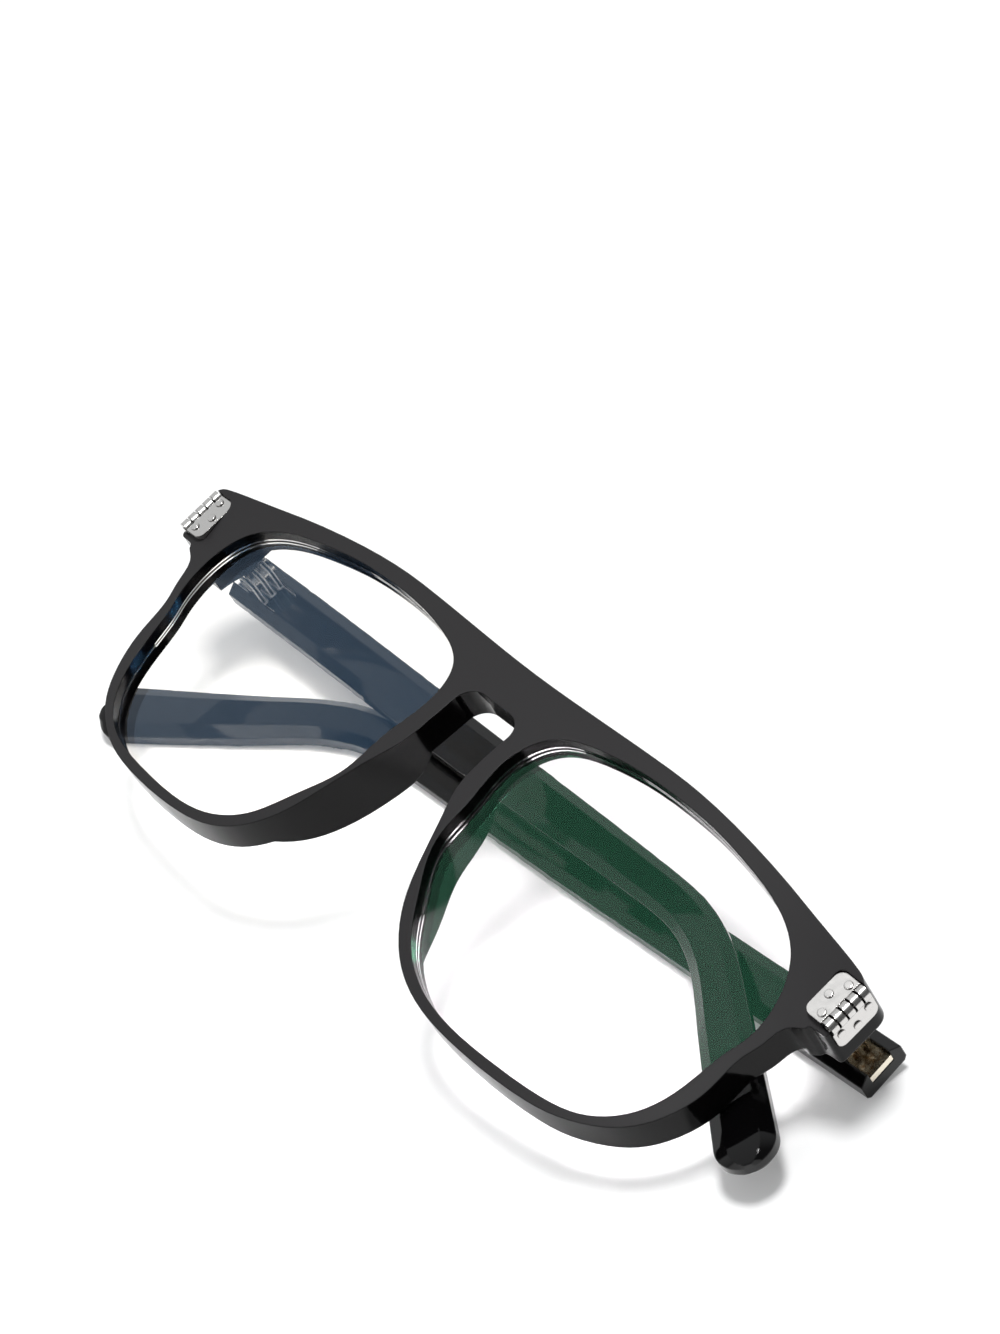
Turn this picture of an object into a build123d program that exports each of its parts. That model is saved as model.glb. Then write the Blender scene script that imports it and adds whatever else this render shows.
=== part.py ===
from build123d import *
import math
import os

# Square eyeglasses with a thick plastic front, folded and lying on their temples.
# Millimetres. X runs across the front, Y up the front and Z out of it, towards the viewer.
# "Left" is the -X side.

# Eye openings and bridge
eye_width = 55.0
eye_height = 43.2
bridge_gap = 17.2
eye_drop = 0.7
eye_shares = [
    (0.977, 0.03), (0.998, 0.37), (0.887, 0.68), (0.66, 0.855), (0.40, 0.935), (0.13, 0.985),
    (-0.14, 1.0), (-0.41, 0.985), (-0.675, 0.928), (-0.915, 0.785), (-1.0, 0.47), (-0.966, 0.13),
    (-0.94, -0.20), (-0.81, -0.50), (-0.645, -0.78), (-0.415, -0.945), (-0.15, -0.997), (0.12, -0.988),
    (0.385, -0.955), (0.645, -0.858), (0.835, -0.625), (0.925, -0.30),
]

# Outline of the front
side_rim = 1.3
low_rim = 1.4
endpiece_reach = 8.4
endpiece_low = 8.6
brow_rise = 2.5
brow_sag = 6.1
bridge_height = 6.9
arch_width = 11.6
arch_corner = 3.0
arch_side = 2.6
corner_round = 2.0
low_corner_round = 0.8
brow_shares = [
    (0.145, 0.12), (0.34, 0.02), (0.41, 0.0), (0.48, 0.02), (0.61, 0.16), (0.74, 0.39), (0.87, 0.68),
]
brow_middle_share = 0.16
brow_end_share = 0.333
rim_shares = [
    (-1.05, 0.35), (-1.036, 0.17), (-0.974, -0.042), (-0.916, -0.232), (-0.86, -0.414), (-0.79, -0.592),
    (-0.69, -0.752), (-0.565, -0.875), (-0.415, -0.953), (-0.25, -0.99), (-0.08, -1.0), (0.12, -0.995),
    (0.30, -0.975), (0.47, -0.935), (0.64, -0.85), (0.80, -0.71), (0.92, -0.49), (0.978, -0.233),
    (0.998, 0.04), (1.024, 0.136), (1.045, 0.255), (1.08, 0.325), (1.135, 0.372),
]

# Bow of the face, as drops from the middle of the front
bow_half_width = 53.1
bow_half_height = 22.1
bow_wrap = 7.73
bow_roll = 2.42
bow_skew = 1.59
bow_twist = 2.38
bow_ease = 1.14
bow_points_across = 17
bow_points_up = 7
bow_margin = 8.0

# Thickness of the front
rim_thickness = 5.5
endpiece_ramp = 1.6
endpiece_inset = 2.6
pad_depth = 4.9
pad_middle = 7.0
pad_half_length = 13.0
pad_root = 4.2

# Lenses
lens_thickness = 2.0
lens_setback = 1.8
lens_tongue = 0.6
lens_tongue_thickness = 0.9
lens_clearance = 0.05

# Working hinges
hinge_inset = 6.5
hinge_up = 13.0
hinge_back = 21.0
hinge_face = 2.5
butt_ahead = 5.2
butt_gap = 0.15
knuckles = 5
knuckle_radius = 1.7
knuckle_length = 0.8
knuckle_gap = 0.05
leaf_thickness = 1.1
leaf_width = 4.2
leaf_length = 11.8
leaf_inset = 0.05
leaf_sink = 0.9
leaf_clearance = 0.04
front_leaf_in = 2.4
front_leaf_out = 1.8
front_leaf_thickness = 1.2
arm_out = 1.7
arm_in = 0.9
screw_radius = 0.7
screw_clearance = 0.05
screw_head_radius = 1.2
screw_head_height = 0.6
screw_slot_width = 0.3
screw_slot_depth = 0.3
rivet_radius = 0.45
rivet_head_radius = 0.62
rivet_head_height = 0.25
rivet_reach = 1.3
rivet_clearance = 0.02
front_rivet_in = 1.65
front_rivet_apart = 2.4

# Temples
temple_length = 150.0
temple_height = 7.8
temple_thickness = 4.0
tip_thickness = 3.4
curl_start = 92.0
curl_depth = 6.2
curl_power_share = 1.3
bend_start = 98.6
bend_radius = 32.0
bend_angle = 32.0
bevel_depth = 1.15
bevel_share = 0.22
edge_round = 0.55
flat_skim = 0.03
rest_flat = 0.25
temple_shares = [
    (0.0, 1.0, 0.0), (0.28, 0.985, 0.01), (0.44, 0.94, 0.02), (0.56, 0.875, 0.05), (0.64, 0.82, 0.06),
    (0.70, 0.815, 0.05), (0.76, 0.86, 0.035), (0.82, 0.94, 0.02), (0.88, 1.02, 0.005), (0.93, 1.08, 0.0),
]
tip_shares = [(0.0, 1.0), (0.42, 0.907), (0.72, 0.694), (0.90, 0.436), (0.985, 0.173)]
tip_height = 8.7
wire_radius = 0.6
wire_clearance = 0.05
wire_end = 10.0
wire_sides = 12

# Silver corner ornaments
plaque_height = 7.4
plaque_width = 4.4
plaque_thickness = 0.8
plaque_let_in = 0.45
plaque_round = 1.3
plaque_knuckle_radius = 1.15
plaque_knuckle_gap = 0.28
plaque_knuckles = 5
plaque_pin_radius = 0.45
plaque_inset = 0.35
plaque_up = 13.1
plaque_clearance = 0.04
plaque_rivet_radius = 0.5
plaque_rivet_lip = 0.12
plaque_rivet_height = 0.25
plaque_rivet_depth = 0.6
plaque_rivet_near = 1.9
plaque_rivet_far = 3.1
plaque_rivet_apart = 5.0

# Folded pose, in degrees, and how the front then lies
rest_roll = 13.9
rest_pitch = 2.6
left_overfold = 1.6
right_underfold = 2.2
right_lean = 3.1

# One overrun for all cuts
overrun = 1.0

half_eye = (eye_width / 2, eye_height / 2)
eye_u = bridge_gap / 2 + half_eye[0]
eye_v = -eye_drop
half_front = bridge_gap / 2 + eye_width + endpiece_reach
brow_top = eye_v + half_eye[1] + brow_rise
endpiece_back = hinge_back - butt_ahead - butt_gap
deepest = hinge_back + half_front
knuckle_pitch = knuckle_length + knuckle_gap
hinge_half = (knuckles * knuckle_length + (knuckles - 1) * knuckle_gap) / 2
hinge_out = half_front - hinge_inset
wire_start = leaf_inset + leaf_length


def face_height(u, v):
    """Height of the bowed front face at a place on the front."""
    a = u / bow_half_width
    b = v / bow_half_height
    drop = bow_wrap * a**2 + bow_roll * b**2
    return -drop + bow_skew * a**2 * b + bow_twist * a**2 * b**2 + bow_ease * a**4


def bowed_face(depth):
    """The front face as a surface, moved back by a depth."""
    reach_u = half_front + bow_margin
    reach_v = brow_top + bow_margin
    rows = []
    for i in range(bow_points_across):
        u = reach_u * (2 * i / (bow_points_across - 1) - 1)
        row = []
        for j in range(bow_points_up):
            v = reach_v * (2 * j / (bow_points_up - 1) - 1)
            row.append((u, v, face_height(u, v) - depth))
        rows.append(row)
    return Face.make_surface_from_array_of_points(rows)


def bowed_slab(near, far):
    """The space between two depths behind the front face."""
    return extrude(bowed_face(near), amount=far - near, dir=(0, 0, -1))


def prism(face, top=0.0):
    """A sketch face swept back, past everything."""
    return extrude(Pos(0, 0, top + overrun) * face, amount=deepest + overrun, dir=(0, 0, -1))


def eye_face(grow):
    """The eye opening, grown all round by a margin."""
    points = []
    for a, b in eye_shares:
        points.append((eye_u + a * (half_eye[0] + grow), eye_v + b * (half_eye[1] + grow)))
    return make_face(Spline(*points, periodic=True))


def front_outline():
    """Right half of the front's outline as a face, from the middle of the bridge to the endpiece."""
    arch_top = brow_top - brow_sag * brow_middle_share - bridge_height
    arch_half = arch_width / 2
    side_low = arch_top - arch_corner - arch_side
    rim = [(arch_half, side_low)]
    for a, b in rim_shares:
        rim.append((eye_u + a * (half_eye[0] + side_rim), eye_v + b * (half_eye[1] + low_rim)))
    rim.append((half_front - low_corner_round, endpiece_low))
    brow = [(0, brow_top - brow_sag * brow_middle_share)]
    for a, b in brow_shares:
        brow.append((a * half_front, brow_top - b * brow_sag))
    brow_fall = brow_sag / (brow_end_share * half_front)
    brow_end = brow_top - brow_sag
    brow.append((half_front - corner_round, brow_end + corner_round * brow_fall))
    low_end = (half_front, endpiece_low + low_corner_round)
    high_end = (half_front, brow_end - corner_round)
    edges = [
        Line((0, arch_top), (arch_half - arch_corner, arch_top)),
        RadiusArc((arch_half - arch_corner, arch_top), (arch_half, arch_top - arch_corner), arch_corner),
        Line((arch_half, arch_top - arch_corner), rim[0]),
        Spline(*rim, tangents=[(0, -1), (1, 0)]),
        Spline(rim[-1], low_end, tangents=[(1, 0), (0, 1)]),
        Line(low_end, high_end),
        Spline(high_end, brow[-1], tangents=[(0, 1), (-1, brow_fall)]),
        Spline(*brow, tangents=[(1, 0), (1, -brow_fall)]),
        Line(brow[0], (0, arch_top)),
    ]
    return make_face(Curve() + edges)


def both_sides(right):
    """A right-hand shape together with its mirror image."""
    return right + mirror(right, about=Plane.YZ)


def nose_pad(ring):
    """Right nose pad: the back of the rim carried on as a rounded ridge."""
    centre = (0, -pad_middle, -pad_root)
    ridge = Plane(origin=centre, x_dir=(0, 1, 0), z_dir=(1, 0, 0)) * Ellipse(
        pad_half_length, rim_thickness + pad_depth - pad_root)
    return ring & extrude(ridge, amount=eye_u)


def endpiece_block():
    """Right endpiece, deep enough for the temple to shut against."""
    inner = half_front - endpiece_reach - endpiece_inset
    section = Plane.XZ * Polygon(
        (inner, 0), (inner, -endpiece_back + endpiece_ramp), (inner + endpiece_ramp, -endpiece_back),
        (half_front + overrun, -endpiece_back), (half_front + overrun, 0), align=None)
    low = endpiece_low - endpiece_ramp
    return Pos(0, low, 0) * extrude(section, amount=-brow_top)


def hinge_place():
    """Place of the right hinge, with the front's own directions."""
    return Pos(hinge_out, hinge_up, -hinge_back) * Rot(0, 0, right_lean)


def temple_place(side):
    """Folded place of a temple that is modelled open, for side 1 (right) or -1 (left)."""
    if side > 0:
        return hinge_place() * Rot(0, 90 - right_underfold, 0)
    return Pos(-hinge_out, hinge_up, -hinge_back) * Rot(0, -90 - left_overfold, 0)


def front_place(side):
    """Place of the front half of a hinge."""
    if side > 0:
        return hinge_place()
    return Pos(-hinge_out, hinge_up, -hinge_back)


def handed(shape, side):
    """The shape for the right side, or its mirror image for the left."""
    if side > 0:
        return shape
    return mirror(shape, about=Plane.YZ)


# Working hinge, drawn for an open right temple: X outwards, Y along the pin, Z forwards

def knuckle(index, foot):
    """One knuckle of the five, counted from below, with the foot that carries it."""
    low = -hinge_half + index * knuckle_pitch
    disc = Plane.XZ.offset(-low) * Circle(knuckle_radius)
    return extrude(disc, amount=-knuckle_length) + foot(low)


def temple_foot(low):
    """Foot from a temple knuckle out to its leaf."""
    size = (hinge_face + leaf_sink, knuckle_length, 2 * knuckle_radius)
    return Pos(0, low, -knuckle_radius) * Box(*size, align=(Align.MIN, Align.MIN, Align.MIN))


def front_foot(low):
    """Arm from a front knuckle forwards to its leaf."""
    reach = butt_ahead + butt_gap - front_leaf_thickness / 2
    size = (arm_in + arm_out, knuckle_length, reach)
    return Pos(-arm_in, low, 0) * Box(*size, align=(Align.MIN, Align.MIN, Align.MIN))


def pin_bore():
    """Bore for the hinge screw."""
    disc = Plane.XZ * Circle(screw_radius + screw_clearance)
    return extrude(disc, amount=hinge_half + overrun, both=True)


def shield(margin, thickness, ahead=0.0):
    """The temple leaf's plate: square at the butt, round at the back, sunk below the inner face."""
    half = leaf_width / 2 + margin
    straight = leaf_length - leaf_width / 2 + ahead
    plan = Rectangle(straight, 2 * half, align=(Align.MIN, Align.CENTER)) + Pos(straight, 0) * Circle(half)
    front = butt_ahead - leaf_inset + ahead
    lie = Plane(origin=(hinge_face + leaf_sink, 0, front), x_dir=(0, 0, -1), z_dir=(1, 0, 0))
    return extrude(lie * plan, amount=thickness)


def rivet(head_radius, radius, head, reach):
    """A round-headed rivet along -Z, its head sitting on Z = 0."""
    body = extrude(Circle(radius), amount=-reach)
    cap = extrude(Circle(head_radius), amount=head)
    return body + fillet(cap.edges().sort_by(Axis.Z)[-1], head / 2)


def front_rivet_places():
    """Places of the two rivets of a front leaf, heads backwards."""
    level = butt_ahead + butt_gap - front_leaf_thickness
    return [Pos(-front_rivet_in, way * front_rivet_apart / 2, level) * Rot(180, 0, 0) for way in (-1, 1)]


def rivet_bores(places, radius, reach):
    """Bores for rivets at places."""
    bores = []
    for place in places:
        hole = Circle(radius + rivet_clearance)
        bores.append(place * Pos(0, 0, overrun) * extrude(hole, amount=-reach - overrun - rivet_clearance))
    return bores


def temple_leaf():
    """Temple half of a hinge: a shield plate with three knuckles."""
    leaf = shield(0, leaf_thickness)
    for index in range(0, knuckles, 2):
        leaf += knuckle(index, temple_foot)
    return leaf - pin_bore()


def front_leaf():
    """Front half of a hinge: a plate behind the endpiece with two knuckles."""
    size = (front_leaf_in + front_leaf_out, leaf_width, front_leaf_thickness - leaf_clearance)
    level = butt_ahead + butt_gap - leaf_clearance
    leaf = Pos(-front_leaf_in, 0, level) * Box(*size, align=(Align.MIN, Align.CENTER, Align.MAX))
    for index in range(1, knuckles, 2):
        leaf += knuckle(index, front_foot)
    leaf -= pin_bore()
    return leaf - rivet_bores(front_rivet_places(), rivet_radius, rivet_reach)


def hinge_screw():
    """Screw that joins the two halves, its slotted head on the top knuckle."""
    top = Plane.XZ.offset(-hinge_half)
    shank = extrude(Plane.XZ * Circle(screw_radius), amount=hinge_half, both=True)
    head = extrude(top * Circle(screw_head_radius), amount=-screw_head_height)
    slot = Pos(0, hinge_half + screw_head_height, 0) * Box(
        2 * screw_head_radius + overrun, 2 * screw_slot_depth, screw_slot_width)
    return shank + head - slot


# Temples, drawn open on the right side

def station(along, up=0.0, out=0.0):
    """Plane across the temple at a length from the butt: X up the temple, Y outwards."""
    turned = min(max(along - bend_start, 0) / bend_radius, math.radians(bend_angle))
    after = max(along - bend_start - bend_radius * math.radians(bend_angle), 0)
    y = -bend_radius * (1 - math.cos(turned)) - after * math.sin(turned)
    z = butt_ahead - min(along, bend_start) - bend_radius * math.sin(turned) - after * math.cos(turned)
    curl = curl_depth * (max(along - curl_start, 0) / (temple_length - curl_start)) ** curl_power_share
    x = hinge_face + temple_thickness - curl + out
    across = (0, math.cos(turned), -math.sin(turned))
    forward = (0, -math.sin(turned), -math.cos(turned))
    origin = (x, y + up * across[1], z + up * across[2])
    return Plane(origin=origin, x_dir=across, z_dir=forward)


def thickness_at(along):
    """Thickness of the temple at a length from the butt."""
    return temple_thickness + (tip_thickness - temple_thickness) * along / temple_length


def temple_ring(along, height, up, slim=1.0):
    """Corners of the temple's cross-section: bevels on the inner face, small chamfers on the outer one."""
    half = height / 2
    thick = thickness_at(along)
    bevel = bevel_share * height
    inner = -thick * (1 + slim) / 2
    outer = -thick * (1 - slim) / 2
    inner_bevel = inner + bevel_depth * slim
    small = min(edge_round, half / 2) * slim
    corners = [
        (half - bevel, inner), (half, inner_bevel), (half, outer - small), (half - small, outer),
        (small - half, outer), (-half, outer - small), (-half, inner_bevel), (bevel - half, inner),
    ]
    plane = station(along, up)
    return [plane.from_local_coords((h, out, 0)) for h, out in corners]


def skinned(rings):
    """A solid whose corners follow smooth curves through rings of points."""
    rails = [Spline(*points) for points in zip(*rings)]
    sides = [Face.make_surface_from_curves(rails[i - 1], rails[i]) for i in range(len(rails))]
    ends = [make_face(Polyline(*ring, close=True)) for ring in (rings[0], rings[-1])]
    return Solid(Shell(sides + ends))


def temple_body():
    """The temple's plastic, from the butt to the rounded tip."""
    rings = []
    for along_share, height_share, up_share in temple_shares:
        rings.append(temple_ring(
            along_share * temple_length, height_share * temple_height, up_share * temple_height))
    tip_radius = tip_height / 2
    tip_start = temple_length - tip_radius
    tip_rings = []
    for along_share, height_share in tip_shares:
        tip_rings.append(temple_ring(
            tip_start + along_share * tip_radius, height_share * tip_height, 0, (1 + height_share) / 2))
    rings.append(tip_rings[0])
    tip = loft([make_face(Polyline(*ring, close=True)) for ring in tip_rings])
    return skinned(rings) + tip


def core_wire(radius, start, end):
    """Wire that runs down the middle of the temple's thickness, with many narrow sides."""
    rings = []
    steps = len(temple_shares)
    turns = [2 * math.pi * k / wire_sides for k in range(wire_sides)]
    for i in range(steps + 1):
        along = start + (end - start) * i / steps
        plane = station(along, 0, -thickness_at(max(along, 0)) / 2)
        ring = [(radius * math.cos(turn), radius * math.sin(turn), 0) for turn in turns]
        rings.append([plane.from_local_coords(point) for point in ring])
    return skinned(rings)


def lying():
    """How the front is turned when the folded glasses lie on a table."""
    return Rot(0, rest_pitch, 0) * Rot(rest_roll, 0, 0)


def table_side(body):
    """Room below the narrow flat on which the folded glasses lie."""
    stance = lying() * temple_place(1)
    low = (stance * body).bounding_box().min.Z
    size = 2 * temple_length
    room = Box(size, size, size, align=(Align.CENTER, Align.CENTER, Align.MAX))
    return stance.inverse() * Pos(0, 0, low + rest_flat) * room


def temple():
    """A temple with the open pocket for its leaf and the bore for its core wire."""
    body = temple_body()
    flat = Pos(hinge_face + temple_thickness - flat_skim, 0, 0) * Rot(0, 90, 0)
    skim = 2 * temple_length
    body -= flat * Box(skim, skim, skim, align=(Align.CENTER, Align.CENTER, Align.MIN))
    body -= table_side(body)
    above = leaf_sink + overrun
    depth = above + leaf_thickness + leaf_clearance
    body -= Pos(-above, 0, 0) * shield(leaf_clearance, depth, leaf_inset + overrun)
    bore_end = temple_length - wire_end + wire_clearance
    return body - core_wire(wire_radius + wire_clearance, wire_start, bore_end)


# Silver corner ornament of the right endpiece

def plaque_frames():
    """Frames of the front leaf and of the side leaf: X away from the corner, Z out of the surface."""
    corner_u = half_front - plaque_inset
    corner_n = face_height(half_front, plaque_up) - plaque_inset
    near = face_height(half_front, plaque_up)
    far = face_height(half_front - plaque_width, plaque_up)
    lean = math.degrees(math.atan2(far - near, plaque_width))
    corner = Pos(corner_u, plaque_up, corner_n)
    front = corner * Rot(0, lean, 0) * Rot(0, 0, 180)
    side = corner * Rot(0, 90, 0)
    return corner, front, side


def plaque_plate(grow):
    """Plan of a leaf: rounded at its outer corners, its inner edge on the knuckles."""
    width = plaque_width + grow
    plan = Rectangle(width, plaque_height + 2 * grow, align=(Align.MIN, Align.CENTER))
    return fillet(plan.vertices().group_by(Axis.X)[-1], plaque_round)


def plaque_level():
    """Height of a leaf's underside above the knuckle axis."""
    return plaque_inset - plaque_let_in


def plaque_knuckle(index):
    """One of the ornament's knuckles, counted from below."""
    length = plaque_height / plaque_knuckles
    low = -plaque_height / 2 + index * length + plaque_knuckle_gap / 2
    disc = Plane.XZ.offset(-low) * Circle(plaque_knuckle_radius)
    return extrude(disc, amount=-(length - plaque_knuckle_gap))


def plaque_rivet_places(frame):
    """Places of a leaf's three rivets: two near the knuckles and one further out."""
    top = plaque_level() + plaque_thickness
    spots = [(plaque_rivet_near, -1), (plaque_rivet_far, 0), (plaque_rivet_near, 1)]
    return [frame * Pos(out, way * plaque_rivet_apart / 2, top) for out, way in spots]


def plaque_leaf(frame, corner, indexes):
    """A leaf with its knuckles and its rivet holes."""
    plate = extrude(plaque_plate(0), amount=plaque_thickness)
    leaf = frame * Pos(0, 0, plaque_level()) * plate
    barrel = Plane.XZ * Circle(plaque_knuckle_radius + plaque_clearance)
    leaf -= corner * extrude(barrel, amount=plaque_height, both=True)
    length = plaque_height / plaque_knuckles
    web_size = (plaque_knuckle_radius * 2, length - plaque_knuckle_gap, plaque_thickness)
    for index in indexes:
        centre = (index * length + (index + 1) * length - plaque_height) / 2
        web = Box(*web_size, align=(Align.MIN, Align.CENTER, Align.MIN))
        leaf += corner * plaque_knuckle(index) + frame * Pos(0, centre, plaque_level()) * web
    bore = Plane.XZ * Circle(plaque_pin_radius + plaque_clearance)
    leaf -= corner * extrude(bore, amount=plaque_height, both=True)
    reach = plaque_thickness + plaque_rivet_depth
    return leaf - rivet_bores(plaque_rivet_places(frame), plaque_rivet_radius, reach)


def plaque_recess():
    """Room in the endpiece for the ornament, with its rivet holes."""
    corner, front, side = plaque_frames()
    grow = plaque_clearance
    room = Pos(0, 0, plaque_level() - grow) * extrude(plaque_plate(grow), amount=plaque_thickness + overrun)
    barrel = extrude(
        Plane.XZ * Circle(plaque_knuckle_radius + grow), amount=plaque_height / 2 + grow, both=True)
    cuts = [front * room, side * room, corner * barrel]
    reach = plaque_thickness + plaque_rivet_depth
    for frame in (front, side):
        cuts += rivet_bores(plaque_rivet_places(frame), plaque_rivet_radius, reach)
    return cuts


def front_frame():
    """The whole front: rims, brow, bridge, nose pads and endpieces."""
    outline = prism(front_outline())
    opening = prism(eye_face(0))
    body = outline & bowed_slab(0, rim_thickness)
    behind = bowed_slab(0, endpiece_back + bow_wrap)
    body += endpiece_block() & outline & behind
    body -= opening
    ring = (outline & behind) - opening
    body += nose_pad(ring)
    middle = lens_setback + lens_thickness / 2
    half_groove = lens_tongue_thickness / 2 + lens_clearance
    groove = bowed_slab(middle - half_groove, middle + half_groove)
    body -= prism(eye_face(lens_tongue + lens_clearance)) & groove
    body -= plaque_recess()
    whole = body.solids().sort_by(SortBy.VOLUME)[-1]
    body = both_sides(whole)
    for side in (1, -1):
        bores = rivet_bores(front_rivet_places(), rivet_radius, rivet_reach)
        body -= [front_place(side) * handed(bore, side) for bore in bores]
    return body


def lens():
    """Right lens, with the tongue that sits in the rim's groove."""
    middle = lens_setback + lens_thickness / 2
    half_tongue = lens_tongue_thickness / 2
    glass = prism(eye_face(-lens_clearance)) & bowed_slab(lens_setback, lens_setback + lens_thickness)
    tongue = bowed_slab(middle - half_tongue, middle + half_tongue)
    return glass + (prism(eye_face(lens_tongue)) & tongue)


def build_pieces():
    """Every piece by name, in the front's own frame."""
    pieces = {"front_frame": front_frame()}
    corner, plaque_front, plaque_side = plaque_frames()
    glass = lens()
    arm = temple()
    wire = core_wire(wire_radius, wire_start + leaf_clearance, temple_length - wire_end)
    plaque_leaves = {
        "plaque_front_leaf": plaque_leaf(plaque_front, corner, (1, 3)),
        "plaque_side_leaf": plaque_leaf(plaque_side, corner, (0, 2, 4)),
    }
    plaque_pin = corner * extrude(Plane.XZ * Circle(plaque_pin_radius), amount=plaque_height / 2, both=True)
    head_radius = plaque_rivet_radius + plaque_rivet_lip
    reach = plaque_thickness + plaque_rivet_depth
    small_rivet = rivet(head_radius, plaque_rivet_radius, plaque_rivet_height, reach)
    hinge_rivet = rivet(rivet_head_radius, rivet_radius, rivet_head_height, rivet_reach)
    plaque_places = plaque_rivet_places(plaque_front) + plaque_rivet_places(plaque_side)
    plaque_rivets = [place * small_rivet for place in plaque_places]
    for side, word in ((1, "right"), (-1, "left")):
        pieces["lens_" + word] = handed(glass, side)
        for name, leaf in plaque_leaves.items():
            pieces[name + "_" + word] = handed(leaf, side)
        pieces["plaque_pin_" + word] = handed(plaque_pin, side)
        pieces["plaque_rivets_" + word] = [handed(one, side) for one in plaque_rivets]
        fixed = front_place(side)
        pieces["front_hinge_leaf_" + word] = fixed * handed(front_leaf(), side)
        pieces["hinge_screw_" + word] = fixed * handed(hinge_screw(), side)
        front_rivets = [place * hinge_rivet for place in front_rivet_places()]
        pieces["front_hinge_rivets_" + word] = [fixed * handed(one, side) for one in front_rivets]
        folded = temple_place(side)
        pieces["temple_" + word] = folded * handed(arm, side)
        pieces["core_wire_" + word] = folded * handed(wire, side)
        pieces["temple_hinge_leaf_" + word] = folded * handed(temple_leaf(), side)
    return pieces


def joined(shape):
    """One shape for a node of one or several solids."""
    solids = []
    for one in (shape if isinstance(shape, list) else [shape]):
        solids += list(one.solids())
    return solids[0] if len(solids) == 1 else Compound(solids)


def main():
    """Lay the folded glasses on the right temple's lower edge and write each piece."""
    os.makedirs("parts", exist_ok=True)
    level = lying()
    nodes = {name: level * joined(shape) for name, shape in build_pieces().items()}
    boxes = [shape.bounding_box() for shape in nodes.values()]
    low = [min(tuple(box.min)[i] for box in boxes) for i in range(3)]
    high = [max(tuple(box.max)[i] for box in boxes) for i in range(3)]
    shift = Pos(-(low[0] + high[0]) / 2, -(low[1] + high[1]) / 2, -low[2])
    for name, shape in nodes.items():
        placed = shift * shape
        placed.label = name
        export_step(placed, "parts/" + name + ".step")
    print("size", [b - a for a, b in zip(low, high)], "shift", shift.position)
    for side, word in ((1, "right"), (-1, "left")):
        hinge = shift * level * front_place(side)
        along = (hinge * Pos(0, 1, 0)).position - hinge.position
        print(word, "hinge at", hinge.position, "along", along)
    out = hinge_face + temple_thickness - flat_skim
    outside = shift * level * temple_place(1) * Pos(out, 0, -bend_start / 2)
    facing = (outside * Pos(1, 0, 0)).position - outside.position
    print("outer face at", outside.position, "facing", facing)


if __name__ == "__main__":
    main()
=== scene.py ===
"""Square black eyeglasses, folded and lying on a pale surface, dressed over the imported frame."""

import logging
import math
from dataclasses import dataclass, field
from enum import Enum

import bpy
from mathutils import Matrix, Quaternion, Vector


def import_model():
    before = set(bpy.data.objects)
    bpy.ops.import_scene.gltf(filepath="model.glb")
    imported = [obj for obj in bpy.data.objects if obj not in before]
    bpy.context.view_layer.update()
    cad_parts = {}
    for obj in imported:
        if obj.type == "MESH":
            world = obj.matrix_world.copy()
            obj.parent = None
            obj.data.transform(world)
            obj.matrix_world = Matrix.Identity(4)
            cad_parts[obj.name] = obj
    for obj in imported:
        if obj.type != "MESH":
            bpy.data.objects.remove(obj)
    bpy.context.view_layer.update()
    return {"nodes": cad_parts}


MM = 0.001
LOG = logging.getLogger("eyeglasses")

Triple = tuple[float, float, float]
Colour = Triple
Value = bpy.types.NodeSocket | float
Tone = bpy.types.NodeSocket | Colour

WHITE = (1.0, 1.0, 1.0, 1.0)
FLOAT = "NodeSocketFloat"
AXES = "XYZ"


class Side(Enum):
    """The two sides of the glasses, as seen in the photograph."""

    LEFT = "left"
    RIGHT = "right"


class Effect(Enum):
    """The shared shader node groups, by name."""

    HANDLING = "handling_marks"
    FACING = "faces_forward"
    EDGES = "near_edges"
    PAINTED_CREVICE_SHADE = "painted_crevice_shade"
    TARNISH = "tarnish_patches"


class MixSocket(Enum):
    """The colour sockets of Blender's Mix node, by number."""

    FACTOR = 0
    FIRST = 6
    SECOND = 7
    RESULT = 2


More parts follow.
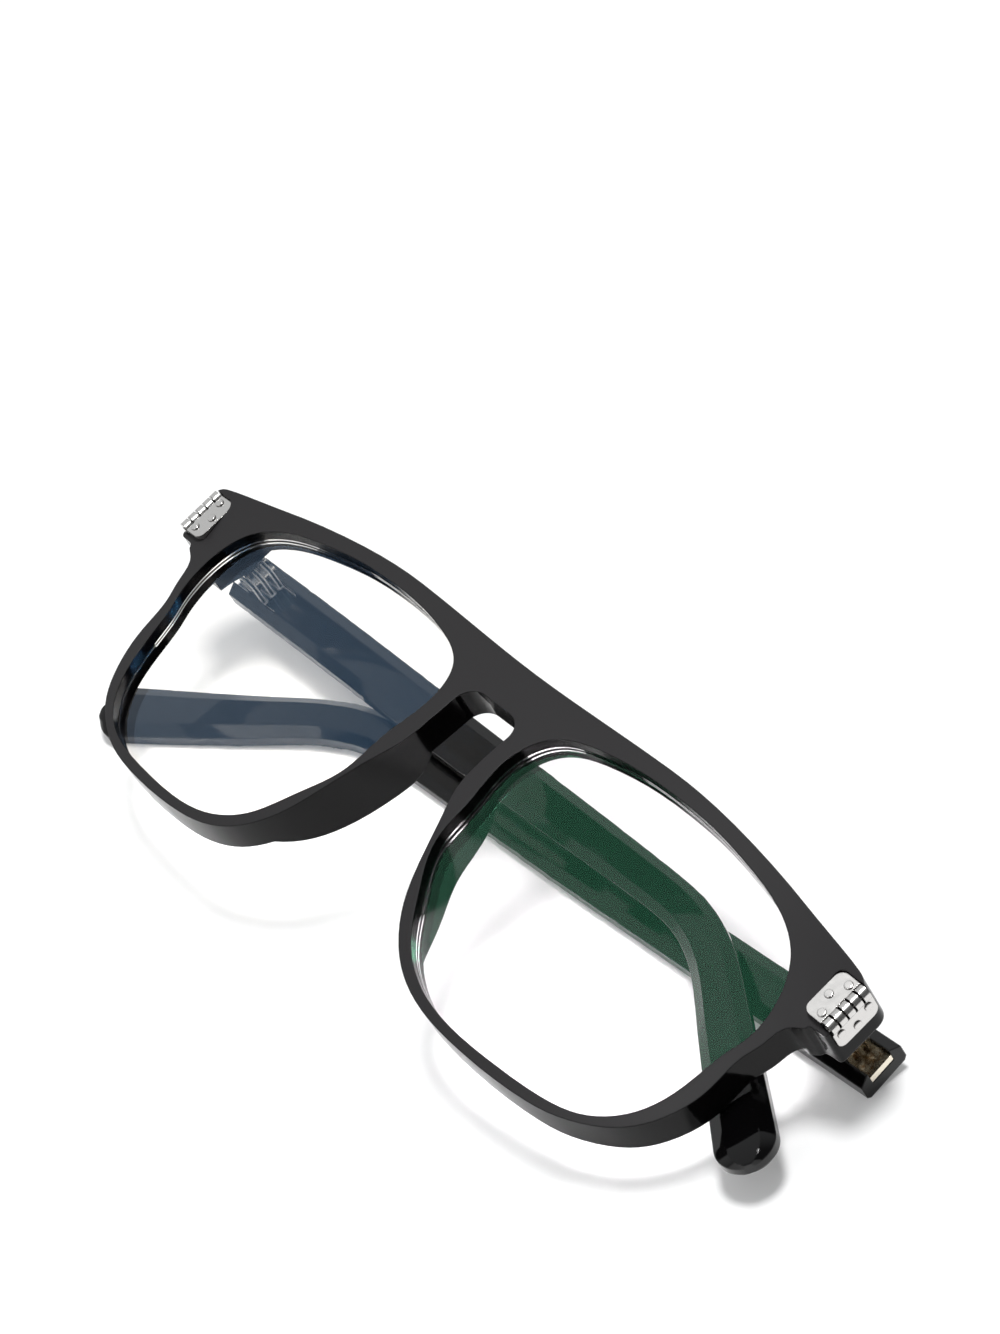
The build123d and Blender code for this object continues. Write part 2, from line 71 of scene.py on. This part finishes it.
class NodeTree:
    """A small helper that builds shader nodes and their links."""

    def __init__(self, tree: bpy.types.NodeTree) -> None:
        """Wraps a node tree.

        Args:
            tree: The material's, the world's or the group's node tree.
        """
        self.tree = tree

    def add(self, kind: str, **values: object) -> bpy.types.Node:
        """Adds a node and sets its properties and inputs.

        Args:
            kind: The node's type name.
            **values: Properties by name, or inputs by their name with "_" for a space.

        Returns:
            The new node.
        """
        node = self.tree.nodes.new(kind)
        for name, value in values.items():
            if hasattr(node, name):
                setattr(node, name, value)
            else:
                node.inputs[name.replace("_", " ")].default_value = value
        return node

    def link(self, source: bpy.types.NodeSocket, target: bpy.types.NodeSocket) -> None:
        """Joins two sockets.

        Args:
            source: The output.
            target: The input.
        """
        self.tree.links.new(source, target)

    def fill(self, target: bpy.types.NodeSocket, value: Value | Tone) -> None:
        """Links a socket to an input, or sets a plain value on it.

        Args:
            target: The input.
            value: An output socket, a number or a colour.
        """
        if isinstance(value, bpy.types.NodeSocket):
            self.link(value, target)
        elif isinstance(value, tuple):
            target.default_value = (*value, 1.0)
        else:
            target.default_value = value

    def maths(
        self, operation: str, first: Value, second: Value, clamp: bool = False
    ) -> bpy.types.NodeSocket:
        """Adds a sum of two values.

        Args:
            operation: The Math node's operation.
            first: The first value.
            second: The second value.
            clamp: Whether the result is kept between 0 and 1.

        Returns:
            The result's socket.
        """
        node = self.add("ShaderNodeMath", operation=operation, use_clamp=clamp)
        self.fill(node.inputs[0], first)
        self.fill(node.inputs[1], second)
        return node.outputs[0]

    def blend(self, mask: bpy.types.NodeSocket, first: Tone, second: Tone) -> bpy.types.NodeSocket:
        """Mixes two colours.

        Args:
            mask: 0 for the first colour, 1 for the second.
            first: The first colour.
            second: The second colour.

        Returns:
            The mixed colour's socket.
        """
        node = self.add("ShaderNodeMix", data_type="RGBA")
        self.link(mask, node.inputs[MixSocket.FACTOR.value])
        self.fill(node.inputs[MixSocket.FIRST.value], first)
        self.fill(node.inputs[MixSocket.SECOND.value], second)
        return node.outputs[MixSocket.RESULT.value]

    def soft_step(self, value: bpy.types.NodeSocket, start: Value, end: Value) -> bpy.types.Node:
        """Adds a smooth step.

        Args:
            value: The value that is stepped.
            start: Where the step starts.
            end: Where it ends.

        Returns:
            The Map Range node.
        """
        ramp = self.add("ShaderNodeMapRange", interpolation_type="SMOOTHSTEP")
        self.link(value, ramp.inputs["Value"])
        self.fill(ramp.inputs["From Min"], start)
        self.fill(ramp.inputs["From Max"], end)
        return ramp

    def effect(self, effect: Effect, **values: float) -> bpy.types.Node:
        """Places a shared effect.

        Args:
            effect: The effect's node group.
            **values: Its inputs by their name with "_" for a space.

        Returns:
            The group node.
        """
        node = self.add("ShaderNodeGroup")
        node.node_tree = bpy.data.node_groups[effect.value]
        for name, value in values.items():
            node.inputs[name.replace("_", " ")].default_value = value
        return node


class EffectGroup(NodeTree):
    """A shader node group for an effect that several materials share."""

    def __init__(
        self, effect: Effect, inputs: dict[str, float], outputs: tuple[str, ...] = ("Mask",)
    ) -> None:
        """Starts the group.

        Args:
            effect: The effect that the group makes.
            inputs: Float inputs by name, with their defaults.
            outputs: Names of the float outputs.
        """
        super().__init__(bpy.data.node_groups.new(effect.value, "ShaderNodeTree"))
        for label, value in inputs.items():
            socket = self.tree.interface.new_socket(label, in_out="INPUT", socket_type=FLOAT)
            socket.default_value = value
        for label in outputs:
            self.tree.interface.new_socket(label, in_out="OUTPUT", socket_type=FLOAT)
        self.given = self.add("NodeGroupInput").outputs
        self.out = self.add("NodeGroupOutput").inputs

    def noise(
        self, vector: bpy.types.NodeSocket, detail: float, roughness: float
    ) -> bpy.types.NodeSocket:
        """Adds noise at the group's own scale.

        Args:
            vector: The coordinates.
            detail: How many octaves.
            roughness: How strong the fine octaves are.

        Returns:
            The noise value's socket.
        """
        cloud = self.add("ShaderNodeTexNoise", Detail=detail, Roughness=roughness)
        self.link(vector, cloud.inputs["Vector"])
        self.link(self.given["Scale"], cloud.inputs["Scale"])
        return cloud.outputs["Fac"]


def make_handling_marks() -> None:
    """Makes fine handling marks: a roughness and a height that vary over the surface."""
    cloud_detail, cloud_roughness = 4.0, 0.6
    hair_detail, hair_roughness = 6.0, 0.75
    hair_stretch, hair_turn = (1.0, 14.0, 14.0), (0.1, 0.2, 0.15)
    noise_middle = 0.5
    group = EffectGroup(
        Effect.HANDLING,
        {"Roughness": 0.2, "Spread": 0.05, "Scale": 900.0, "Hairlines": 0.5},
        ("Roughness", "Height"),
    )
    place = group.add("ShaderNodeTexCoord").outputs["Object"]
    cloud = group.noise(place, cloud_detail, cloud_roughness)
    stretch = group.add("ShaderNodeMapping", Scale=hair_stretch, Rotation=hair_turn)
    group.link(place, stretch.inputs["Vector"])
    hair = group.noise(stretch.outputs["Vector"], hair_detail, hair_roughness)
    centred = group.maths("SUBTRACT", cloud, noise_middle)
    wide = group.maths("MULTIPLY", centred, group.given["Spread"])
    group.link(group.maths("ADD", wide, group.given["Roughness"], clamp=True), group.out["Roughness"])
    group.link(group.maths("MULTIPLY", hair, group.given["Hairlines"]), group.out["Height"])


def make_faces_forward() -> None:
    """Makes a mask that is 1 where the surface faces a given way."""
    group = EffectGroup(
        Effect.FACING,
        {"Forward X": 0.0, "Forward Y": 0.0, "Forward Z": 1.0, "Start": 0.8, "End": 0.9},
    )
    forward = group.add("ShaderNodeCombineXYZ")
    for axis in AXES:
        group.link(group.given["Forward " + axis], forward.inputs[axis])
    dot = group.add("ShaderNodeVectorMath", operation="DOT_PRODUCT")
    group.link(group.add("ShaderNodeTexCoord").outputs["Normal"], dot.inputs[0])
    group.link(forward.outputs[0], dot.inputs[1])
    step = group.soft_step(dot.outputs["Value"], group.given["Start"], group.given["End"])
    group.link(step.outputs["Result"], group.out["Mask"])


def make_near_edges() -> None:
    """Makes a mask that is 1 along edges and 0 on the faces between them."""
    edge_rays = 6
    group = EffectGroup(Effect.EDGES, {"Radius": 0.3 * MM, "Start": 0.003, "End": 0.03})
    soft = group.add("ShaderNodeBevel", samples=edge_rays)
    group.link(group.given["Radius"], soft.inputs["Radius"])
    dot = group.add("ShaderNodeVectorMath", operation="DOT_PRODUCT")
    group.link(soft.outputs["Normal"], dot.inputs[0])
    group.link(group.add("ShaderNodeNewGeometry").outputs["Normal"], dot.inputs[1])
    turn = group.maths("SUBTRACT", 1.0, dot.outputs["Value"])
    step = group.soft_step(turn, group.given["Start"], group.given["End"])
    group.link(step.outputs["Result"], group.out["Mask"])


def make_painted_crevice_shade() -> None:
    """Makes a painted-shade mask from ambient occlusion: 1 in narrow seams and round the feet of
    rivets, where shade falls.
    """
    seam_rays = 8
    group = EffectGroup(Effect.PAINTED_CREVICE_SHADE, {"Distance": 0.4 * MM, "Open": 0.8, "Closed": 0.45})
    # Ambient occlusion: the mask paints shade where nearby surfaces close in.
    closed = group.add("ShaderNodeAmbientOcclusion", samples=seam_rays)
    group.link(group.given["Distance"], closed.inputs["Distance"])
    step = group.soft_step(closed.outputs["AO"], group.given["Open"], group.given["Closed"])
    group.link(step.outputs["Result"], group.out["Mask"])


def make_tarnish_patches() -> None:
    """Makes a mask of soft patches, 0 on clean metal and 1 on tarnished metal."""
    patch_detail, patch_roughness = 5.0, 0.7
    group = EffectGroup(Effect.TARNISH, {"Scale": 1500.0, "Start": 0.42, "End": 0.6})
    place = group.add("ShaderNodeTexCoord").outputs["Object"]
    cloud = group.noise(place, patch_detail, patch_roughness)
    step = group.soft_step(cloud, group.given["Start"], group.given["End"])
    group.link(step.outputs["Result"], group.out["Mask"])


def facing_values(forward: Triple) -> dict[str, float]:
    """Names the inputs of the facing mask.

    Args:
        forward: The direction that the mask looks for.

    Returns:
        The direction's parts by input name.
    """
    return {"Forward_" + axis: part for axis, part in zip(AXES, forward)}


def empty_material(name: str) -> tuple[bpy.types.Material, NodeTree, bpy.types.Node]:
    """Starts a material.

    Args:
        name: The material's name.

    Returns:
        The material, its tree and its output node.
    """
    material = bpy.data.materials.new(name)
    material.use_nodes = True
    material.node_tree.nodes.clear()
    build = NodeTree(material.node_tree)
    return material, build, build.add("ShaderNodeOutputMaterial")


@dataclass(frozen=True)
class Finish:
    """A surface finish with handling marks and softened edges."""

    name: str
    colour: Colour
    roughness: float
    spread: float = 0.05
    metallic: float = 0.0
    scale: float = 900.0
    hairlines: float = 0.4
    bump: float = 0.02
    bump_depth: float = 0.05 * MM
    edge: float = 0.3 * MM
    edge_rays: int = 4
    specular: float = 0.5

    def start(self) -> tuple[bpy.types.Material, NodeTree, bpy.types.Node, bpy.types.Node]:
        """Builds the material up to its Principled shader.

        Returns:
            The material, its tree, the Principled node and the handling-marks node.
        """
        material, build, out = empty_material(self.name)
        shader = build.add("ShaderNodeBsdfPrincipled")
        build.fill(shader.inputs["Base Color"], self.colour)
        shader.inputs["Metallic"].default_value = self.metallic
        shader.inputs["Specular IOR Level"].default_value = self.specular
        marks = build.effect(
            Effect.HANDLING,
            Roughness=self.roughness,
            Spread=self.spread,
            Scale=self.scale,
            Hairlines=self.hairlines,
        )
        round_off = build.add("ShaderNodeBevel", samples=self.edge_rays, Radius=self.edge)
        bump = build.add("ShaderNodeBump", Strength=self.bump, Distance=self.bump_depth)
        build.link(marks.outputs["Height"], bump.inputs["Height"])
        build.link(round_off.outputs["Normal"], bump.inputs["Normal"])
        build.link(bump.outputs["Normal"], shader.inputs["Normal"])
        build.link(marks.outputs["Roughness"], shader.inputs["Roughness"])
        build.link(shader.outputs["BSDF"], out.inputs["Surface"])
        return material, build, shader, marks

    def build(self) -> bpy.types.Material:
        """Builds the whole material."""
        return self.start()[0]


@dataclass(frozen=True)
class FrontFinish(Finish):
    """Black plastic, satin where it faces forward and polished elsewhere; its forward faces get a
    lighter base colour as a painted sheen.
    """

    satin_roughness: float = 0.42
    # Painted sheen: a lighter base colour on the forward faces, in place of their satin reflection.
    painted_sheen_colour: Colour = (0.023, 0.022, 0.023)
    forward: Triple = (0.0, 0.0, 1.0)

    def build(self) -> bpy.types.Material:
        """Builds the material.

        Returns:
            The finished material.
        """
        material, build, shader, marks = self.start()
        mask = build.effect(Effect.FACING, **facing_values(self.forward)).outputs["Mask"]
        # Painted sheen where the mask faces forward, black elsewhere; the satin roughness below is
        # real.
        build.link(build.blend(mask, self.colour, self.painted_sheen_colour), shader.inputs["Base Color"])
        satin = build.maths("MULTIPLY", mask, self.satin_roughness - self.roughness)
        rough = build.maths("ADD", marks.outputs["Roughness"], satin, clamp=True)
        build.link(rough, shader.inputs["Roughness"])
        return material


@dataclass(frozen=True)
class MottledMetal(Finish):
    """Tarnished metal whose colour wanders between two tones, clean on its cut end."""

    second: Colour = (0.3, 0.2, 0.1)
    end_colour: Colour = (0.86, 0.79, 0.66)
    end_facing: Triple = (0.975, 0.2, 0.05)
    patch_scale: float = 1500.0

    def build(self) -> bpy.types.Material:
        """Builds the material.

        Returns:
            The finished material.
        """
        material, build, shader, _ = self.start()
        patches = build.effect(Effect.TARNISH, Scale=self.patch_scale).outputs["Mask"]
        tone = build.blend(patches, self.colour, self.second)
        cut_end = build.effect(Effect.FACING, **facing_values(self.end_facing)).outputs["Mask"]
        build.link(build.blend(cut_end, tone, self.end_colour), shader.inputs["Base Color"])
        return material


@dataclass(frozen=True)
class SeamedMetal(Finish):
    """Polished metal with painted shade in its seams and a painted dark reflection along its edges.
    """

    painted_shade_and_reflection_colour: Colour = (0.05, 0.048, 0.045)
    shade_reach: float = 0.4 * MM
    edge_width: float = 0.14 * MM
    edge_start: float = 0.01
    edge_end: float = 0.08

    def build(self) -> bpy.types.Material:
        """Builds the material.

        Returns:
            The finished material.
        """
        material, build, shader, _ = self.start()
        # Painted shade in the seams, from ambient occlusion.
        seams = build.effect(Effect.PAINTED_CREVICE_SHADE, Distance=self.shade_reach)
        edges = build.effect(
            Effect.EDGES, Radius=self.edge_width, Start=self.edge_start, End=self.edge_end)
        # Painted shade and painted dark reflection share one dark colour.
        painted_dark_mask = build.maths("MAXIMUM", seams.outputs["Mask"], edges.outputs["Mask"])
        build.link(build.blend(painted_dark_mask, self.colour, self.painted_shade_and_reflection_colour), shader.inputs["Base Color"])
        return material


@dataclass(frozen=True)
class EdgedMetal(Finish):
    """Polished metal whose dark base colour paints a dark reflection, with painted highlights along
    its edges.
    """

    highlight_colour: Colour = (0.95, 0.95, 0.95)
    edge_width: float = 0.5 * MM

    def build(self) -> bpy.types.Material:
        """Builds the material.

        Returns:
            The finished material.
        """
        material, build, shader, _ = self.start()
        # Painted highlight: the edges turn bright and non-metallic.
        painted_edge_highlight = build.effect(Effect.EDGES, Radius=self.edge_width).outputs["Mask"]
        build.link(build.blend(painted_edge_highlight, self.colour, self.highlight_colour), shader.inputs["Base Color"])
        build.link(build.maths("SUBTRACT", 1.0, painted_edge_highlight), shader.inputs["Metallic"])
        return material


@dataclass(frozen=True)
class LensFinish:
    """Clear lens with a tinted antireflective sheen, which lets lamp light through."""

    name: str
    sheen: Colour
    ior: float = 1.5
    dust_scale: float = 2500.0
    dust_detail: float = 3.0
    dust_start: float = 0.72
    dust_end: float = 0.8
    dust_roughness: float = 0.02

    def build(self) -> bpy.types.Material:
        """Builds the material.

        Returns:
            The finished material.
        """
        material, build, out = empty_material(self.name)
        shader = build.add("ShaderNodeBsdfPrincipled")
        shader.inputs["Base Color"].default_value = WHITE
        shader.inputs["Metallic"].default_value = 0.0
        shader.inputs["Transmission Weight"].default_value = 1.0
        shader.inputs["IOR"].default_value = self.ior
        shader.inputs["Specular Tint"].default_value = (*self.sheen, 1.0)
        place = build.add("ShaderNodeTexCoord")
        dust = build.add("ShaderNodeTexNoise", Scale=self.dust_scale, Detail=self.dust_detail)
        build.link(place.outputs["Object"], dust.inputs["Vector"])
        specks = build.add("ShaderNodeMapRange")
        specks.inputs["From Min"].default_value = self.dust_start
        specks.inputs["From Max"].default_value = self.dust_end
        specks.inputs["To Max"].default_value = self.dust_roughness
        build.link(dust.outputs["Fac"], specks.inputs["Value"])
        build.link(specks.outputs["Result"], shader.inputs["Roughness"])
        clear = build.add("ShaderNodeBsdfTransparent")
        path = build.add("ShaderNodeLightPath")
        both = build.add("ShaderNodeMixShader")
        build.link(path.outputs["Is Shadow Ray"], both.inputs["Fac"])
        build.link(shader.outputs["BSDF"], both.inputs[1])
        build.link(clear.outputs["BSDF"], both.inputs[2])
        build.link(both.outputs["Shader"], out.inputs["Surface"])
        return material


def dress(node: bpy.types.Object, material: bpy.types.Material) -> None:
    """Gives a CAD node one material.

    Args:
        node: The node's object.
        material: The material for its slots.
    """
    if not node.material_slots:
        node.data.materials.append(material)
    for slot in node.material_slots:
        slot.link = "OBJECT"
        slot.material = material
    LOG.info("%s has %s", node.name, material.name)


@dataclass
class Front:
    """The plastic front with its lenses."""

    nodes: dict[str, bpy.types.Object]
    forward: Triple = (0.04403, -0.24023, 0.96972)
    black: Colour = (0.002, 0.0018, 0.002)
    polish: float = 0.09
    specular: float = 0.12
    sheens: dict[Side, Colour] = field(default_factory=lambda: {
        Side.LEFT: (0.12, 0.46, 0.95), Side.RIGHT: (0.16, 0.85, 0.45)})

    def dress(self) -> None:
        """Dresses the front and the lenses."""
        finish = FrontFinish(
            "front_plastic", self.black, self.polish, specular=self.specular, forward=self.forward)
        dress(self.nodes["front_frame"], finish.build())
        for side in Side:
            glass = LensFinish("clear_lens_" + side.value, self.sheens[side])
            dress(self.nodes["lens_" + side.value], glass.build())


@dataclass
class Temples:
    """The two plastic temples with their core wires."""

    nodes: dict[str, bpy.types.Object]
    plastic: Finish = Finish(
        "temple_plastic", (0.0015, 0.0014, 0.0016), 0.06, spread=0.04, specular=0.3)
    wire: Finish = Finish("core_wire_metal", (0.55, 0.54, 0.52), 0.3, metallic=1.0)

    def dress(self) -> None:
        """Dresses the temples and wires."""
        plastic = self.plastic.build()
        wire = self.wire.build()
        for side in Side:
            dress(self.nodes["temple_" + side.value], plastic)
            dress(self.nodes["core_wire_" + side.value], wire)


@dataclass
class Metalwork:
    """Hinges, screws, rivets and the silver corner ornaments."""

    nodes: dict[str, bpy.types.Object]
    hinge_parts: tuple[str, ...] = ("front_hinge_leaf", "hinge_screw", "front_hinge_rivets")
    ornament_parts: tuple[str, ...] = (
        "plaque_front_leaf", "plaque_side_leaf", "plaque_pin", "plaque_rivets")
    steel: Finish = Finish(
        "hinge_steel", (0.62, 0.6, 0.57), 0.22, spread=0.15, metallic=1.0, edge=0.12 * MM)
    # The silver ornaments carry painted shade in their seams and a painted dark reflection on their
    # edges.
    silver: Finish = SeamedMetal(
        "ornament_silver", (0.66, 0.645, 0.63), 0.2, spread=0.12, metallic=1.0, edge=0.1 * MM)
    leaves: dict[Side, Finish] = field(default_factory=lambda: {
        # The left leaf's dark colour paints its dark reflection; its bright edges are painted
        # highlights.
        Side.LEFT: EdgedMetal(
            "hinge_leaf_painted_reflection", (0.07, 0.085, 0.105), 0.12, metallic=1.0, edge=0.25 * MM),
        Side.RIGHT: MottledMetal(
            "hinge_leaf_tarnished", (0.62, 0.55, 0.42), 0.25, spread=0.2, metallic=1.0,
            edge=0.12 * MM, second=(0.26, 0.16, 0.07)),
    })

    def dress(self) -> None:
        """Dresses every metal piece."""
        steel = self.steel.build()
        silver = self.silver.build()
        for side in Side:
            dress(self.nodes["temple_hinge_leaf_" + side.value], self.leaves[side].build())
            for part in self.hinge_parts:
                dress(self.nodes[part + "_" + side.value], steel)
            for part in self.ornament_parts:
                dress(self.nodes[part + "_" + side.value], silver)


@dataclass(frozen=True)
class Softbox:
    """A round soft lamp, in metres and watts, that is turned to the frame's origin."""

    name: str
    place: Triple
    size: float
    power: float

    def build(self) -> None:
        """Places the lamp."""
        data = bpy.data.lights.new(self.name, "AREA")
        data.shape = "DISK"
        data.size = self.size
        data.energy = self.power
        lamp = bpy.data.objects.new(self.name, data)
        lamp.location = self.place
        lamp.rotation_mode = "QUATERNION"
        lamp.rotation_quaternion = (-Vector(self.place)).to_track_quat("-Z", "Y")
        bpy.context.scene.collection.objects.link(lamp)


@dataclass
class Studio:
    """The pale floor, the soft lights and the camera."""

    camera_place: Vector = field(default_factory=lambda: Vector((445.71, -218.18, 473.96)) * MM)
    camera_aim: Vector = field(default_factory=lambda: Vector((-20.15, 26.63, 15.0)) * MM)
    camera_roll: float = math.radians(-15.873)
    camera_lens: float = 132.37
    camera_sensor: float = 36.0
    camera_near: float = 0.01
    floor_size: float = 3.0
    floor_colour: Colour = (0.9, 0.9, 0.9)
    glow_share: float = 0.2
    sky_colour: Colour = (0.97, 0.99, 1.0)
    bright_sky: Triple = (-0.75, -0.1, 0.65)
    sky_start: float = 0.05
    sky_end: float = 0.75
    sky_low: float = 0.12
    sky_high: float = 0.72
    lamps: tuple[Softbox, ...] = (
        Softbox("key", (0.05, 0.07, 1.0), 0.26, 8.5),
        Softbox("fill", (0.2, -0.9, 0.6), 0.5, 1.5),
    )

    def build(self) -> None:
        """Builds the studio."""
        self.make_floor()
        self.make_world()
        for lamp in self.lamps:
            lamp.build()
        self.make_camera()
        LOG.info("studio ready")

    def floor_material(self) -> bpy.types.Material:
        """Builds the white floor's material, which keeps the shadow.

        Returns:
            The finished material.
        """
        material, build, out = empty_material("white_floor")
        matt = build.add("ShaderNodeBsdfDiffuse", Color=(*self.floor_colour, 1.0))
        glow = build.add("ShaderNodeEmission", Color=WHITE, Strength=1.0)
        path = build.add("ShaderNodeLightPath").outputs
        seen = build.maths("MAXIMUM", path["Is Camera Ray"], path["Is Transmission Ray"])
        mirrored = build.maths("MAXIMUM", seen, path["Is Glossy Ray"])
        both = build.add("ShaderNodeMixShader")
        build.link(build.maths("MULTIPLY", mirrored, self.glow_share), both.inputs["Fac"])
        build.link(matt.outputs[0], both.inputs[1])
        build.link(glow.outputs[0], both.inputs[2])
        build.link(both.outputs[0], out.inputs["Surface"])
        return material

    def make_floor(self) -> None:
        """Makes the flat white floor."""
        half = self.floor_size / 2
        corners = [(-half, -half, 0), (half, -half, 0), (half, half, 0), (-half, half, 0)]
        mesh = bpy.data.meshes.new("floor")
        mesh.from_pydata(corners, [], [(0, 1, 2, 3)])
        mesh.materials.append(self.floor_material())
        floor = bpy.data.objects.new("floor", mesh)
        bpy.context.scene.collection.objects.link(floor)

    def make_world(self) -> None:
        """Makes surroundings that are bright on one side and dim on the other."""
        world = bpy.data.worlds.new("studio")
        bpy.context.scene.world = world
        world.use_nodes = True
        build = NodeTree(world.node_tree)
        background = world.node_tree.nodes["Background"]
        build.fill(background.inputs["Color"], self.sky_colour)
        dot = build.add("ShaderNodeVectorMath", operation="DOT_PRODUCT")
        dot.inputs[1].default_value = self.bright_sky
        build.link(build.add("ShaderNodeTexCoord").outputs["Generated"], dot.inputs[0])
        step = build.soft_step(dot.outputs["Value"], self.sky_start, self.sky_end)
        step.inputs["To Min"].default_value = self.sky_low
        step.inputs["To Max"].default_value = self.sky_high
        build.link(step.outputs["Result"], background.inputs["Strength"])

    def make_camera(self) -> None:
        """Places the camera at the photograph's viewpoint."""
        data = bpy.data.cameras.new("camera")
        data.lens = self.camera_lens
        data.sensor_width = self.camera_sensor
        data.clip_start = self.camera_near
        camera = bpy.data.objects.new("camera", data)
        camera.location = self.camera_place
        camera.rotation_mode = "QUATERNION"
        look = (self.camera_aim - self.camera_place).to_track_quat("-Z", "Y")
        camera.rotation_quaternion = look @ Quaternion((0, 0, 1), self.camera_roll)
        bpy.context.scene.collection.objects.link(camera)
        bpy.context.scene.camera = camera


def main() -> None:
    """Dresses the frame and sets the studio."""
    logging.basicConfig(level=logging.INFO)
    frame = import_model()
    make_handling_marks()
    make_faces_forward()
    make_tarnish_patches()
    make_near_edges()
    make_painted_crevice_shade()
    nodes = frame["nodes"]
    Front(nodes).dress()
    Temples(nodes).dress()
    Metalwork(nodes).dress()
    Studio().build()
    bpy.context.scene.view_settings.view_transform = "Standard"


if __name__ == "__main__":
    main()
